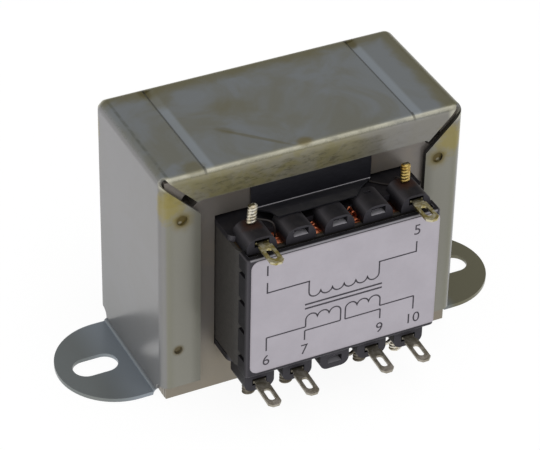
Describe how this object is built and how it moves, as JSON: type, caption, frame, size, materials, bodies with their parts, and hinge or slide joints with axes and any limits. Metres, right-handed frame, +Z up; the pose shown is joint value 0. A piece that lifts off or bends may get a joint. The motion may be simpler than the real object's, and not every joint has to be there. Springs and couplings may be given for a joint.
{
  "type": "chassis mount transformer",
  "caption": "Open-frame mains transformer: laminated core in a folded sheet frame with slotted feet, split bobbin, solder tags and a clip-on front cover.",
  "frame": {"origin": "midway between the two fixing slots, on the underside of the feet", "axes": "+X along the line of the two feet, +Y towards the back of the coil, +Z up out of the feet"},
  "size_m": [0.0878, 0.0554, 0.0485],
  "materials": {
    "plated_sheet": "bright zinc plate with a yellowish passivation",
    "core_steel": "varnished electrical steel",
    "black_moulding": "satin",
    "copper_wire": "enamelled",
    "winding_tape": "satin",
    "pressed_paper": "matte",
    "black_film": "satin",
    "label_paper": "satin",
    "tag_metal": "tinned",
    "tinned_wire": "soldered"
  },
  "bodies": {
    "root": {"clamp_frame": "plated_sheet", "e_laminations_upright": "core_steel", "e_laminations_inverted": "core_steel", "i_laminations_lower": "core_steel", "i_laminations_upper": "core_steel", "bobbin": "black_moulding", "primary_winding": "copper_wire", "primary_tape": "winding_tape", "secondary_winding_inner": "copper_wire", "secondary_layer_tape": "winding_tape", "secondary_winding_outer": "copper_wire", "secondary_tape": "winding_tape", "coil_wrap": "pressed_paper", "insulation_flap": "black_film", "front_cover": "black_moulding", "label": "label_paper", "primary_tag_left": "tag_metal", "primary_tag_right": "tag_metal", "secondary_tag_a1": "tag_metal", "secondary_tag_a2": "tag_metal", "secondary_tag_b1": "tag_metal", "secondary_tag_b2": "tag_metal", "primary_lead_left": "tinned_wire", "primary_lead_right": "tinned_wire", "secondary_lead_a1": "tinned_wire", "secondary_lead_a2": "tinned_wire", "secondary_lead_b1": "tinned_wire", "secondary_lead_b2": "tinned_wire"}
  },
  "joints": []
}
